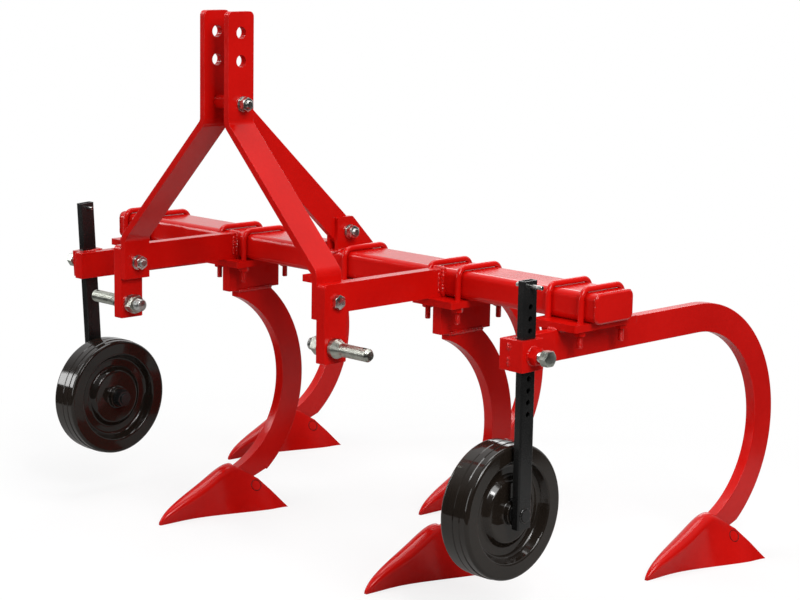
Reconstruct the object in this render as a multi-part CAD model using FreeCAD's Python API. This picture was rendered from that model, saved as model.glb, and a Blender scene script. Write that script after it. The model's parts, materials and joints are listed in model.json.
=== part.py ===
import FreeCAD
import Part
import math
import os

V = FreeCAD.Vector
os.makedirs("parts", exist_ok=True)

# Main beam: rectangular tube, X along it, the tractor side is -Y.
# All places below are measured from the middle of the beam.
beam_length = 1230.0
beam_width = 92.0
beam_height = 48.0
beam_wall = 6.0
beam_corner = 11.0
end_cap_thickness = 4.0
end_cap_rounding = 3.0

# Hitch arms with drop legs, lower pins and their nuts
arm_thickness = 20.0
arm_centre_x = 266.0
arm_reach = 271.0
arm_corner = 7.0
leg_width = 48.0
leg_below_pin = 26.0
pin_setback = 21.0
pin_z = -80.5
pin_diameter = 22.0
pin_length = 76.0
pin_collar_diameter = 33.0
pin_collar_length = 9.0
pin_neck_diameter = 22.0
pin_taper_length = 12.0
linch_hole_diameter = 9.0
linch_hole_inset = 12.0
pin_nut_flats = 30.0
pin_nut_height = 17.0
pin_thread_end = 13.0
pin_washer_diameter = 32.0
pin_washer_thickness = 4.0

# Mast: two bent flat bars, their bolts, the rear brace and its ears
mast_height = 449.0
mast_thickness = 12.0
mast_depth = 55.0
mast_half_gap = 25.0
mast_bend_radius = 12.0
mast_top_corner = 9.0
top_link_drops = (35.0, 82.0)
top_link_hole = 20.0
mast_bolt_drop = 153.0
mast_bolt_setback = 31.0
upper_bend_drop = 189.0
lower_bend_rise = 13.0
foot_overhang = 35.0
arm_bolt_z = -5.5
spacer_diameter = 23.0
brace_thickness = 12.0
brace_width = 49.5
brace_foot_y = -13.0
brace_foot_rise = 23.5
brace_top_drop = 1.5
brace_overhang = 24.0
brace_top_gap = 6.0
brace_corner = 10.0
brace_foot_gap = 1.5

# Bolts through the mast, the ears and the arms
bolt_diameter = 14.0
bolt_flats = 21.5
bolt_head = 8.0
bolt_nut = 12.0
bolt_thread_end = 4.0
washer_diameter = 26.0
washer_thickness = 3.0

# Ears that hold the foot of the brace
ear_thickness = 8.0
ear_height = 58.0
ear_front_inset = 3.0
ear_rear_inset = 1.0
ear_rear_height = 6.0
ear_crest_y = -6.5
ear_bolt_rise = 30.5
ear_bolt_y = -15.0

# Tine clamps: plate under the beam, two U-bolts over it
end_to_outer_tine = 63.0
centre_tine_x = 6.0
left_clamp_shift = 1.0
plate_thickness = 12.0
plate_margin_x = 13.5
plate_margin_y = 26.5
plate_corner = 4.0
ubolt_diameter = 10.0
ubolt_half_pitch = 34.5
ubolt_below_plate = 29.0
ubolt_nut_flats = 17.0
ubolt_nut_height = 9.0
ubolt_by_arm = 2.5

# Tine shanks: one bar section, one arc
bar_thickness = 20.0
bar_height = 50.0
arc_outer_radius = 227.0
rear_arc_y = 294.0
front_arc_y = -107.0
foot_angle = -66.0
foot_height = 84.0
front_foot_angle = -70.0
front_share_lead = 10.0
outer_bar_front_y = -192.5
centre_bar_front_y = -65.0
holder_front_y = -65.0
holder_rear_y = 58.0
front_shank_cut_y = -42.0

# Shares: (distance behind the point, half width at the ground, ridge height,
# rounding of the ridge against its full radius)
share_sections = (
    (0.0, 3.0, 6.0, 0.14),
    (10.0, 3.6, 17.0, 0.33),
    (32.0, 4.4, 32.0, 0.58),
    (58.0, 5.6, 45.0, 0.78),
    (85.0, 9.5, 57.0, 0.92),
    (115.0, 17.5, 71.0, 1.0),
    (150.0, 29.5, 87.0, 1.0),
    (168.0, 36.0, 90.0, 1.0),
    (230.0, 56.0, 90.0, 1.0),
    (275.0, 65.0, 90.0, 1.0),
)
share_reach = 179.0
share_plate = 6.0
share_hollow_from = 4
share_crest = (170.0, 88.0)
share_shoulder = (220.0, 56.0)
share_heel = 264.0
# Foot of the shank inside the share: (distance behind the point, height), front to rear
foot_cut = ((147.0, 32.0), (224.0, 58.0), (255.0, 68.0))

# Wheel struts, their sleeves, pins and bolts
strut_thickness = 15.0
strut_width = 31.0
strut_wall = 3.0
strut_corner = 3.0
strut_above_sleeve = 92.0
strut_below_axle = 22.0
strut_hole = 9.0
strut_hole_pitch = 19.0
strut_holes_below = 5
strut_holes_above = 4
strut_pin_diameter = 7.0
strut_pin_drop = 8.5
strut_pin_inner = 15.0
strut_pin_outer = 23.0
strut_pin_eye = 3.6
left_sleeve_setback = 17.0
left_sleeve_lean = 3.4
sleeve_inner_wall = 5.6
sleeve_outer_wall = 7.1
sleeve_length = 50.0
sleeve_nut_flats = 26.0
sleeve_nut_height = 14.0
set_bolt_diameter = 16.0
set_bolt_flats = 24.0
set_bolt_head = 15.0
set_bolt_thread = 8.5

# Gauge wheels and axles
wheel_radius = 112.0
wheel_width = 59.0
wheel_wall = 4.0
wheel_shoulder = 6.0
wheel_tread_band = 26.0
wheel_tread_step = 1.2
wheel_seam_width = 3.0
wheel_seam_depth = 0.8
wheel_rim = 28.0
wheel_groove = 34.0
wheel_groove_depth = 17.0
wheel_centre_depth = 7.0
wheel_ground_gap = 77.0
wheel_strut_gap = 7.0
hub_radius = 20.0
hub_proud = 3.0
hub_grease_hole = 6.0
axle_diameter = 20.0
axle_collar_diameter = 34.0
axle_washer = 3.0
axle_nut_flats = 28.0
axle_nut_height = 12.0
axle_thread_end = 3.0
axle_weld_end = 3.0

# Named clearances
bolt_gap = 0.1
seat = 0.3
slide_gap = 0.4
axle_fit = 0.05

# Places worked out from the sizes above
half_beam_x = beam_length / 2
half_beam_y = beam_width / 2
half_beam_z = beam_height / 2
arm_inner_x = arm_centre_x - arm_thickness / 2
arm_outer_x = arm_centre_x + arm_thickness / 2
arm_front_y = -half_beam_y - arm_reach
leg_bottom_z = pin_z - leg_below_pin
pin_y = arm_front_y + pin_setback
pin_tip_x = arm_outer_x + pin_collar_length + pin_length
mast_front_y = arm_front_y
mast_hole_y = mast_front_y + mast_depth / 2
mast_bolt_y = mast_front_y + mast_bolt_setback
mast_outer_x = mast_half_gap + mast_thickness
mast_bolt_z = mast_height - mast_bolt_drop
bolt_bore = bolt_diameter / 2 + bolt_gap
foot_inner_x = arm_inner_x - mast_thickness
ear_outer_x = brace_thickness / 2 + ear_thickness
ear_bolt_z = half_beam_z + ear_bolt_rise
plate_bottom_z = -half_beam_z - plate_thickness
ubolt_leg_y = half_beam_y + seat + ubolt_diameter / 2
plate_half_x = ubolt_half_pitch + plate_margin_x
plate_half_y = ubolt_leg_y + plate_margin_y
outer_tine_x = half_beam_x - end_to_outer_tine
rear_stations = (-outer_tine_x, centre_tine_x, outer_tine_x)
right_clamp_x = arm_inner_x - ubolt_by_arm - ubolt_diameter / 2 + ubolt_half_pitch
front_stations = (left_clamp_shift - arm_centre_x, right_clamp_x)
bar_top_z = plate_bottom_z
bar_bottom_z = bar_top_z - bar_height
arc_inner_radius = arc_outer_radius - bar_height
arc_z = bar_top_z - arc_outer_radius
foot_turn = math.radians(foot_angle)
rear_point_y = rear_arc_y + arc_inner_radius * math.cos(foot_turn) - share_reach
front_point_y = front_arc_y - (rear_arc_y - rear_point_y) - front_share_lead
ground_z = arc_z + arc_inner_radius * math.sin(foot_turn) - foot_height
ridge_radius = bar_thickness / 2 + share_plate + 1
sleeve_z = (bar_top_z + bar_bottom_z) / 2
strut_centre_y = outer_bar_front_y + sleeve_length / 2
strut_inner_x = outer_tine_x + bar_thickness / 2 + sleeve_inner_wall + slide_gap
strut_outer_x = strut_inner_x + strut_thickness
strut_top_z = bar_top_z + strut_above_sleeve
strut_pin_z = strut_top_z - strut_pin_drop
sleeve_outer_x = strut_outer_x + slide_gap + sleeve_outer_wall
wheel_outer_x = strut_inner_x - wheel_strut_gap
wheel_z = ground_z + wheel_ground_gap + wheel_radius
frame_shift = V(0, -(arm_front_y + rear_arc_y + arc_outer_radius) / 2, -ground_z)


def save(name, *solids):
    """Writes one node, moved so that the ground under the middle is the origin."""
    moved = []
    for solid in solids:
        placed = solid.copy()
        placed.translate(frame_shift)
        moved.append(placed)
    shape = moved[0] if len(moved) == 1 else Part.makeCompound(moved)
    shape.exportStep("parts/" + name + ".step")


def mirrored(shape):
    return shape.mirror(V(0, 0, 0), V(1, 0, 0))


def set_back(shape):
    """Moves a piece of the left gauge wheel to where its sleeve is welded on, leaning a little."""
    moved = shape.copy()
    moved.translate(V(0, left_sleeve_setback, 0))
    sleeve_centre = V(0, strut_centre_y + left_sleeve_setback, sleeve_z)
    moved.rotate(sleeve_centre, V(1, 0, 0), left_sleeve_lean)
    return moved


def box(x0, x1, y0, y1, z0, z1):
    return Part.makeBox(x1 - x0, y1 - y0, z1 - z0, V(x0, y0, z0))


def rod(axis, radius, start, end, a, b):
    """Cylinder along one axis between start and end, its centre at a, b on the other two."""
    if axis == "x":
        return Part.makeCylinder(radius, end - start, V(start, a, b), V(1, 0, 0))
    return Part.makeCylinder(radius, end - start, V(a, b, start), V(0, 0, 1))


def hexagon(axis, flats, start, end, a, b, first=0):
    """Hexagonal prism along one axis, its first corner turned by the angle given."""
    corner = flats / math.sqrt(3)
    points = []
    for i in range(6):
        turn = math.radians(60 * i + first)
        u = a + corner * math.cos(turn)
        w = b + corner * math.sin(turn)
        points.append(V(start, u, w) if axis == "x" else V(u, w, start))
    face = Part.Face(Part.makePolygon(points + [points[0]]))
    along = V(1, 0, 0) if axis == "x" else V(0, 0, 1)
    return face.extrude(along * (end - start))


def outline(points, plane, level):
    """Closed wire through (u, v, radius) points, each corner rounded by its radius."""

    def lift(u, v):
        if plane == "xz":
            return V(u, level, v)
        if plane == "yz":
            return V(level, u, v)
        return V(u, v, level)

    count = len(points)
    starts = []
    ends = []
    edges = []
    for i, (u, v, radius) in enumerate(points):
        here = lift(u, v)
        if radius <= 0:
            starts.append(here)
            ends.append(here)
            continue
        before = lift(*points[i - 1][:2])
        after = lift(*points[(i + 1) % count][:2])
        back = (before - here).normalize()
        ahead = (after - here).normalize()
        half = back.getAngle(ahead) / 2
        centre = here + (back + ahead).normalize() * (radius / math.sin(half))
        middle = centre + (here - centre).normalize() * radius
        starts.append(here + back * (radius / math.tan(half)))
        ends.append(here + ahead * (radius / math.tan(half)))
        edges.append(Part.Arc(starts[-1], middle, ends[-1]).toShape())
    for i in range(count):
        reach = starts[(i + 1) % count]
        if (reach - ends[i]).Length > 1e-6:
            edges.append(Part.makeLine(ends[i], reach))
    return Part.Wire(Part.__sortEdges__(edges))


def slab(points, plane, start, end):
    """Rounded outline pushed from start to end across its plane."""
    along = {"xz": V(0, 1, 0), "yz": V(1, 0, 0), "xy": V(0, 0, 1)}[plane]
    return Part.Face(outline(points, plane, start)).extrude(along * (end - start))


def rectangle(half_u, half_v, radius, centre_u=0.0, centre_v=0.0):
    """Corner points of a rectangle about a centre, for outline."""
    corners = ((-1, -1), (1, -1), (1, 1), (-1, 1))
    return [(centre_u + i * half_u, centre_v + j * half_v, radius) for i, j in corners]


def turned(points, y, z):
    """Profile of (x, radius, rounding) points revolved about the line along X at y, z."""
    face = Part.Face(outline(points, "xy", 0))
    body = face.revolve(V(0, 0, 0), V(1, 0, 0), 360)
    body.translate(V(0, y, z))
    return body


def make_beam():
    """Rectangular tube with rounded corners."""
    end = half_beam_x - end_cap_thickness
    inner_y = half_beam_y - beam_wall
    inner_z = half_beam_z - beam_wall
    inner_corner = beam_corner - beam_wall
    outer = slab(rectangle(half_beam_y, half_beam_z, beam_corner), "yz", -end, end)
    return outer.cut(slab(rectangle(inner_y, inner_z, inner_corner), "yz", -end, end))


def make_end_cap():
    """Plate welded on the right end of the beam, its outer edge dressed round."""
    start = half_beam_x - end_cap_thickness
    cap = slab(rectangle(half_beam_y, half_beam_z, beam_corner), "yz", start, half_beam_x)
    outer_edges = []
    for edge in cap.Edges:
        if edge.BoundBox.XMin > half_beam_x - 0.01:
            outer_edges.append(edge)
    return cap.makeFillet(end_cap_rounding, outer_edges)


def make_arm():
    """Arm and drop leg of the right side, one plate with the pin and mast bolt holes."""
    rear = arm_front_y + leg_width
    points = [
        (-half_beam_y, -half_beam_z, 0),
        (-half_beam_y, half_beam_z, 0),
        (arm_front_y, half_beam_z, arm_corner),
        (arm_front_y, leg_bottom_z, 2),
        (rear, leg_bottom_z, 2),
        (rear, -half_beam_z, 3),
    ]
    plate = slab(points, "yz", arm_inner_x, arm_outer_x)
    neck = pin_neck_diameter / 2 + bolt_gap
    plate = plate.cut(rod("x", neck, arm_inner_x, arm_outer_x, pin_y, pin_z))
    return plate.cut(rod("x", bolt_bore, arm_inner_x, arm_outer_x, mast_hole_y, arm_bolt_z))


def make_lower_pin():
    """Turned pin: collar against the leg, plain shaft outside, threaded end inside."""
    r = pin_diameter / 2
    neck = pin_neck_diameter / 2
    collar = pin_collar_diameter / 2
    collar_end = arm_outer_x + pin_collar_length
    inner_end = arm_inner_x - pin_washer_thickness - pin_nut_height - pin_thread_end
    points = [
        (inner_end, 0, 0),
        (inner_end, neck - 1.5, 0),
        (inner_end + 1.5, neck, 0),
        (arm_outer_x, neck, 0),
        (arm_outer_x, collar, 2),
        (collar_end, collar, 3),
        (collar_end + pin_taper_length, r, 3),
        (pin_tip_x - 5, r, 1),
        (pin_tip_x, r - 4, 0),
        (pin_tip_x, 0, 0),
    ]
    pin = turned(points, pin_y, pin_z)
    hole_x = pin_tip_x - linch_hole_inset
    return pin.cut(rod("z", linch_hole_diameter / 2, pin_z - r - 1, pin_z + r + 1, hole_x, pin_y))


def make_pin_nut():
    """Nut and washer on the inner face of the right leg."""
    face = arm_inner_x - pin_washer_thickness
    end = face - pin_nut_height
    washer = rod("x", pin_washer_diameter / 2, face, arm_inner_x, pin_y, pin_z)
    nut = washer.fuse(hexagon("x", pin_nut_flats, end, face, pin_y, pin_z, 10))
    bore = pin_neck_diameter / 2 + bolt_gap
    return nut.cut(rod("x", bore, end - 1, arm_inner_x + 1, pin_y, pin_z)).removeSplitter()


def make_mast_bar():
    """Right bar of the mast: upright at the top, splayed, then flat against the arm."""
    upper = mast_height - upper_bend_drop
    lower = half_beam_z + lower_bend_rise
    foot = -foot_overhang
    turn = math.atan2(foot_inner_x - mast_half_gap, upper - lower)
    lift = mast_thickness * math.tan(turn / 2)
    tight = mast_bend_radius
    wide = mast_bend_radius + mast_thickness
    bent = [
        (mast_half_gap, mast_height, 0),
        (mast_half_gap, upper, wide),
        (foot_inner_x, lower, tight),
        (foot_inner_x, foot, 0),
        (arm_inner_x, foot, 0),
        (arm_inner_x, lower + lift, wide),
        (mast_outer_x, upper + lift, tight),
        (mast_outer_x, mast_height, 0),
    ]
    rear = mast_front_y + mast_depth
    bar = slab(bent, "xz", mast_front_y, rear)
    side = [
        (mast_front_y, foot - 1, 0),
        (rear, foot - 1, 0),
        (rear, mast_height, mast_top_corner),
        (mast_front_y, mast_height, mast_top_corner),
    ]
    bar = bar.common(slab(side, "yz", 0, arm_inner_x + 1))
    start = mast_half_gap - 1
    end = mast_outer_x + 1
    for drop in top_link_drops:
        bar = bar.cut(rod("x", top_link_hole / 2, start, end, mast_hole_y, mast_height - drop))
    bar = bar.cut(rod("x", bolt_bore, start, end, mast_bolt_y, mast_bolt_z))
    foot = rod("x", bolt_bore, foot_inner_x - 1, arm_inner_x + 1, mast_hole_y, arm_bolt_z)
    return bar.cut(foot)


def make_bolt(left, right, y, z, head_washer):
    """Bolt along X: head outside the left face, washer and nut outside the right face."""
    head_face = left - (washer_thickness if head_washer else 0)
    nut_face = right + washer_thickness
    nut_end = nut_face + bolt_nut
    bolt = rod("x", bolt_diameter / 2, head_face - 1, nut_end + bolt_thread_end, y, z)
    bolt = bolt.fuse(hexagon("x", bolt_flats, head_face - bolt_head, head_face, y, z, 30))
    bolt = bolt.fuse(hexagon("x", bolt_flats, nut_face, nut_end, y, z, 30))
    bolt = bolt.fuse(rod("x", washer_diameter / 2, right, nut_face, y, z))
    if head_washer:
        bolt = bolt.fuse(rod("x", washer_diameter / 2, head_face, left, y, z))
    return bolt.removeSplitter()


def make_spacer():
    """Tube on the mast bolt from one bar to the other."""
    half = mast_half_gap
    tube = rod("x", spacer_diameter / 2, -half, half, mast_bolt_y, mast_bolt_z)
    return tube.cut(rod("x", bolt_bore, -half, half, mast_bolt_y, mast_bolt_z))


def make_brace():
    """Flat bar from the back of the spacer tube down to the ears on the beam."""
    top = V(0, mast_bolt_y, mast_bolt_z - brace_top_drop)
    low = V(0, brace_foot_y, half_beam_z + brace_foot_rise)
    along = (low - top).normalize()
    across = V(0, -along.z, along.y) * (brace_width / 2)
    start = top - along * brace_width
    end = low + along * brace_overhang
    corners = (start - across, start + across, end + across, end - across)
    side = brace_thickness / 2
    bar = slab([(c.y, c.z, brace_corner) for c in corners], "yz", -side, side)
    low_z = -half_beam_z
    foot_z = half_beam_z + brace_foot_gap
    bar = bar.cut(box(-side - 1, side + 1, -half_beam_y, 2 * half_beam_y, low_z, foot_z))
    front = mast_bolt_y - brace_width - 2 * brace_corner
    rear = mast_bolt_y + brace_top_gap
    bar = bar.cut(box(-side - 1, side + 1, front, rear, mast_bolt_z / 2, 2 * mast_height))
    tube = spacer_diameter / 2 + bolt_gap
    bar = bar.cut(rod("x", tube, -side - 1, side + 1, mast_bolt_y, mast_bolt_z))
    return bar.cut(rod("x", bolt_bore, -side - 1, side + 1, ear_bolt_y, ear_bolt_z))


def make_ear():
    """Right one of the two plates on the beam that hold the foot of the brace."""
    front = -half_beam_y + ear_front_inset
    rear = half_beam_y - ear_rear_inset
    top = half_beam_z + ear_height
    points = [
        (front, 0, 0),
        (rear, 0, 0),
        (rear, half_beam_z + ear_rear_height, 2),
        (ear_crest_y, top, 6),
        (front, top, 4),
    ]
    start = brace_thickness / 2
    plate = slab(points, "yz", start, ear_outer_x)
    tube = rectangle(half_beam_y, half_beam_z, beam_corner)
    plate = plate.cut(slab(tube, "yz", start - 1, ear_outer_x + 1))
    return plate.cut(rod("x", bolt_bore, start, ear_outer_x, ear_bolt_y, ear_bolt_z))


def leg_places(x):
    """Centres of the four U-bolt legs of the clamp at x."""
    places = []
    for side_x in (-ubolt_half_pitch, ubolt_half_pitch):
        for side_y in (-ubolt_leg_y, ubolt_leg_y):
            places.append((x + side_x, side_y))
    return places


def make_clamp_plate(x):
    """Plate under the beam at one tine, drilled for its four U-bolt legs."""
    corners = rectangle(plate_half_x, plate_half_y, plate_corner, x)
    plate = slab(corners, "xy", plate_bottom_z, -half_beam_z)
    for leg_x, leg_y in leg_places(x):
        radius = ubolt_diameter / 2 + seat
        plate = plate.cut(rod("z", radius, plate_bottom_z - 1, 0, leg_x, leg_y))
    return plate


def make_ubolt(x):
    """Round bar bent over the beam, both legs through the clamp plate."""
    r = ubolt_diameter / 2
    y = ubolt_leg_y
    z = half_beam_z + seat + r
    end = plate_bottom_z - ubolt_below_plate
    bend = beam_corner + seat + r
    s = bend * (1 - math.sqrt(0.5))
    path = Part.Wire([
        Part.makeLine(V(x, -y, end), V(x, -y, z - bend)),
        Part.Arc(V(x, -y, z - bend), V(x, -y + s, z - s), V(x, -y + bend, z)).toShape(),
        Part.makeLine(V(x, -y + bend, z), V(x, y - bend, z)),
        Part.Arc(V(x, y - bend, z), V(x, y - s, z - s), V(x, y, z - bend)).toShape(),
        Part.makeLine(V(x, y, z - bend), V(x, y, end)),
    ])
    ring = Part.Wire([Part.makeCircle(r, V(x, -y, end), V(0, 0, 1))])
    return path.makePipeShell([ring], True, True)


def make_ubolt_nuts(x):
    nuts = []
    low = plate_bottom_z - ubolt_nut_height
    bore = ubolt_diameter / 2 + bolt_gap
    for leg_x, leg_y in leg_places(x):
        nut = hexagon("z", ubolt_nut_flats, low, plate_bottom_z, leg_x, leg_y)
        nuts.append(nut.cut(rod("z", bore, low - 1, 0, leg_x, leg_y)))
    return nuts


def arc_point(centre_y, radius, angle):
    turn = math.radians(angle)
    return V(0, centre_y + radius * math.cos(turn), arc_z + radius * math.sin(turn))


def shank_from(edges, point_y, x):
    """Bar profile pushed across its thickness, its foot cut to fit inside the share."""
    half = bar_thickness / 2
    face = Part.Face(Part.Wire(edges))
    face.translate(V(x - half, 0, 0))
    bar = face.extrude(V(bar_thickness, 0, 0))
    foot = [(point_y + y, ground_z + z, 0) for y, z in foot_cut]
    foot.append((foot[-1][0], ground_z - bar_height, 0))
    foot.append((foot[0][0], ground_z - bar_height, 0))
    return bar.cut(slab(foot, "yz", x - half - 1, x + half + 1))


def make_rear_shank(x, front_y):
    """Straight bar under the beam that curves round behind it down to the share."""
    y = rear_arc_y
    front_top = V(0, front_y, bar_top_z)
    front_low = V(0, front_y, bar_bottom_z)
    outer = [arc_point(y, arc_outer_radius, a) for a in (90, 0, foot_angle)]
    inner = [arc_point(y, arc_inner_radius, a) for a in (foot_angle, 0, 90)]
    edges = [
        Part.makeLine(front_top, outer[0]),
        Part.Arc(*outer).toShape(),
        Part.makeLine(outer[2], inner[0]),
        Part.Arc(*inner).toShape(),
        Part.makeLine(inner[2], front_low),
        Part.makeLine(front_low, front_top),
    ]
    return shank_from(edges, rear_point_y, x)


def make_front_shank(x):
    """The same arc, started under its holder."""
    y = front_arc_y
    reach = bar_bottom_z - arc_z
    run = front_shank_cut_y - y
    corner = V(0, front_shank_cut_y, bar_bottom_z)
    outer_start = V(0, y + math.sqrt(arc_outer_radius ** 2 - reach ** 2), bar_bottom_z)
    inner_end = V(0, front_shank_cut_y, arc_z + math.sqrt(arc_inner_radius ** 2 - run ** 2))
    foot = front_foot_angle
    outer = [outer_start, arc_point(y, arc_outer_radius, 0), arc_point(y, arc_outer_radius, foot)]
    inner = [arc_point(y, arc_inner_radius, foot), arc_point(y, arc_inner_radius, 0), inner_end]
    edges = [
        Part.makeLine(corner, outer[0]),
        Part.Arc(*outer).toShape(),
        Part.makeLine(outer[2], inner[0]),
        Part.Arc(*inner).toShape(),
        Part.makeLine(inner[2], corner),
    ]
    return shank_from(edges, front_point_y, x)


def make_holder(x):
    """Short bar under the clamp plate that carries a front shank."""
    half = bar_thickness / 2
    return box(x - half, x + half, holder_front_y, holder_rear_y, bar_bottom_z, bar_top_z)


def share_section(y, half_width, height, radius):
    """Arch outline across the share: straight sides tangent to a round ridge."""
    centre = height - radius
    reach = math.hypot(half_width, centre)
    lean = math.atan2(centre, -half_width) - math.asin(radius / reach)
    run = math.sqrt(reach ** 2 - radius ** 2)
    tx = half_width + run * math.cos(lean)
    tz = run * math.sin(lean)
    left = V(-half_width, y, 0)
    right = V(half_width, y, 0)
    return Part.Wire([
        Part.makeLine(left, right),
        Part.makeLine(right, V(tx, y, tz)),
        Part.Arc(V(tx, y, tz), V(0, y, height), V(-tx, y, tz)).toShape(),
        Part.makeLine(V(-tx, y, tz), left),
    ])


def make_share_blank():
    """Folded share at the origin: point at Y = 0 on the ground, heel towards +Y."""
    outer = []
    inner = []
    for i, (y, half_width, height, rounding) in enumerate(share_sections):
        radius = ridge_radius * rounding
        outer.append(share_section(y, half_width, height, radius))
        if i >= share_hollow_from:
            half = half_width - 1.15 * share_plate
            inner.append(share_section(y, half, height - share_plate, radius - share_plate))
    hollow = Part.makeLoft(inner, True, False)
    below = hollow.copy()
    below.translate(V(0, 0, -0.5))
    shell = Part.makeLoft(outer, True, False).cut(hollow.fuse(below))
    crest_y, crest_z = share_crest
    shoulder_y, shoulder_z = share_shoulder
    side = [
        (-1, -1, 0),
        (-1, crest_z + ridge_radius, 0),
        (crest_y, crest_z + ridge_radius, 0),
        (crest_y, crest_z, 0),
        (shoulder_y, shoulder_z, 0),
        (share_heel, 0, 0),
        (share_heel, -1, 0),
    ]
    widest = share_sections[-1][1] + 1
    return shell.common(slab(side, "yz", -widest, widest))


def make_sleeve():
    """Right block with the rectangular passage for the strut."""
    start = outer_tine_x + bar_thickness / 2
    rear = outer_bar_front_y + sleeve_length
    block = box(start, sleeve_outer_x, outer_bar_front_y, rear, bar_bottom_z, bar_top_z)
    half_x = strut_thickness / 2 + slide_gap
    half_y = strut_width / 2 + slide_gap
    middle = (strut_inner_x + strut_outer_x) / 2
    passage = rectangle(half_x, half_y, strut_corner, middle, strut_centre_y)
    block = block.cut(slab(passage, "xy", bar_bottom_z - 1, bar_top_z + 1))
    bore = set_bolt_diameter / 2 + bolt_gap
    return block.cut(rod("x", bore, middle, sleeve_outer_x + 1, strut_centre_y, sleeve_z))


def make_sleeve_nut():
    """Nut welded on the outer face of the right sleeve."""
    end = sleeve_outer_x + sleeve_nut_height
    nut = hexagon("x", sleeve_nut_flats, sleeve_outer_x, end, strut_centre_y, sleeve_z)
    bore = set_bolt_diameter / 2 + bolt_gap
    return nut.cut(rod("x", bore, sleeve_outer_x, end, strut_centre_y, sleeve_z))


def make_set_bolt():
    """Clamping bolt of the right sleeve: its tip stands against the strut."""
    head = sleeve_outer_x + sleeve_nut_height + set_bolt_thread
    r = set_bolt_diameter / 2
    bolt = rod("x", r, strut_outer_x + seat, head + 1, strut_centre_y, sleeve_z)
    cap = hexagon("x", set_bolt_flats, head, head + set_bolt_head, strut_centre_y, sleeve_z)
    return bolt.fuse(cap).removeSplitter()


def make_strut():
    """Rectangular tube with a row of holes through its outer side."""
    middle = (strut_inner_x + strut_outer_x) / 2
    half_x = strut_thickness / 2
    half_y = strut_width / 2
    bottom = wheel_z - strut_below_axle
    outer = rectangle(half_x, half_y, strut_corner, middle, strut_centre_y)
    bore = rectangle(half_x - strut_wall, half_y - strut_wall, 0, middle, strut_centre_y)
    tube = slab(outer, "xy", bottom, strut_top_z)
    tube = tube.cut(slab(bore, "xy", bottom - 1, strut_top_z + 1))
    y = strut_centre_y
    end = strut_outer_x + 1
    for i in range(-strut_holes_below, strut_holes_above + 1):
        z = sleeve_z + i * strut_hole_pitch
        tube = tube.cut(rod("x", strut_hole / 2, middle, end, y, z))
    pin = strut_pin_diameter / 2 + bolt_gap
    axle = axle_diameter / 2 + bolt_gap
    for radius, z in ((pin, strut_pin_z), (axle, wheel_z)):
        tube = tube.cut(rod("x", radius, strut_inner_x - 1, end, y, z))
    return tube


def make_strut_pin():
    """Cross pin near the top of the right strut, with a hole at its outer end."""
    r = strut_pin_diameter / 2
    start = strut_inner_x - strut_pin_inner
    end = strut_outer_x + strut_pin_outer
    pin = rod("x", r, start, end, strut_centre_y, strut_pin_z)
    eye_x = end - strut_pin_diameter
    eye = rod("z", strut_pin_eye / 2, strut_pin_z - r - 1, strut_pin_z + r + 1, eye_x, strut_centre_y)
    return pin.cut(eye)


def make_axle():
    """Stub axle: fixed in the strut, collar outside the hub, nut at the inner end."""
    y = strut_centre_y
    collar = axle_collar_diameter / 2
    hub_outer = wheel_outer_x + hub_proud
    washer_end = wheel_outer_x - wheel_width - hub_proud - seat
    washer_start = washer_end - axle_washer
    nut_start = washer_start - axle_nut_height
    end = strut_outer_x + axle_weld_end
    axle = rod("x", axle_diameter / 2, nut_start - axle_thread_end, end, y, wheel_z)
    axle = axle.fuse(rod("x", collar, hub_outer + seat, strut_inner_x, y, wheel_z))
    axle = axle.fuse(rod("x", collar, washer_start, washer_end, y, wheel_z))
    axle = axle.fuse(hexagon("x", axle_nut_flats, nut_start, washer_start, y, wheel_z))
    return axle.removeSplitter()


def make_wheel():
    """Steel gauge wheel: two dished pressings round a hub, hollow between them."""
    w = wheel_width / 2
    t = wheel_wall
    bore = axle_diameter / 2 + axle_fit
    tread = wheel_radius - wheel_tread_step
    band = wheel_tread_band / 2
    rim = wheel_radius - wheel_rim
    centre_edge = rim - wheel_groove
    slope = wheel_groove / 4
    groove = w - wheel_groove_depth
    centre = w - wheel_centre_depth
    side = [
        (w + hub_proud, bore, 0),
        (w + hub_proud, hub_radius, 1),
        (centre, hub_radius, 3),
        (centre, centre_edge, 6),
        (groove, centre_edge + slope, 7),
        (groove, rim - slope, 7),
        (w, rim, 4),
        (w, tread, wheel_shoulder),
        (band + wheel_tread_step, tread, 0),
        (band, wheel_radius, 0),
        (wheel_seam_width / 2, wheel_radius, 0),
    ]
    seam = [(0, wheel_radius - wheel_seam_depth, 0)]
    both = side + seam + [(-x, r, rounding) for x, r, rounding in reversed(side)]
    cavity = [
        (centre - t, hub_radius, 0),
        (centre - t, centre_edge - t, 0),
        (groove - t, centre_edge + slope - t, 0),
        (groove - t, rim - slope + t, 0),
        (w - t, rim + t, 0),
        (w - t, tread - t, 0),
    ]
    hollow = cavity + [(-x, r, rounding) for x, r, rounding in reversed(cavity)]
    wheel = turned(both, 0, 0).cut(turned(hollow, 0, 0))
    wheel = wheel.cut(rod("z", hub_grease_hole / 2, 0, hub_radius + t, 0, 0))
    wheel.translate(V(wheel_outer_x - w, strut_centre_y, wheel_z))
    return wheel


save("main_beam", make_beam())
cap = make_end_cap()
save("beam_end_caps", cap, mirrored(cap))

arm = make_arm()
save("hitch_arm_right", arm)
save("hitch_arm_left", mirrored(arm))
pin = make_lower_pin()
save("lower_pin_right", pin)
save("lower_pin_left", mirrored(pin))
pin_nut = make_pin_nut()
save("lower_pin_nuts", pin_nut, mirrored(pin_nut))

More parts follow.
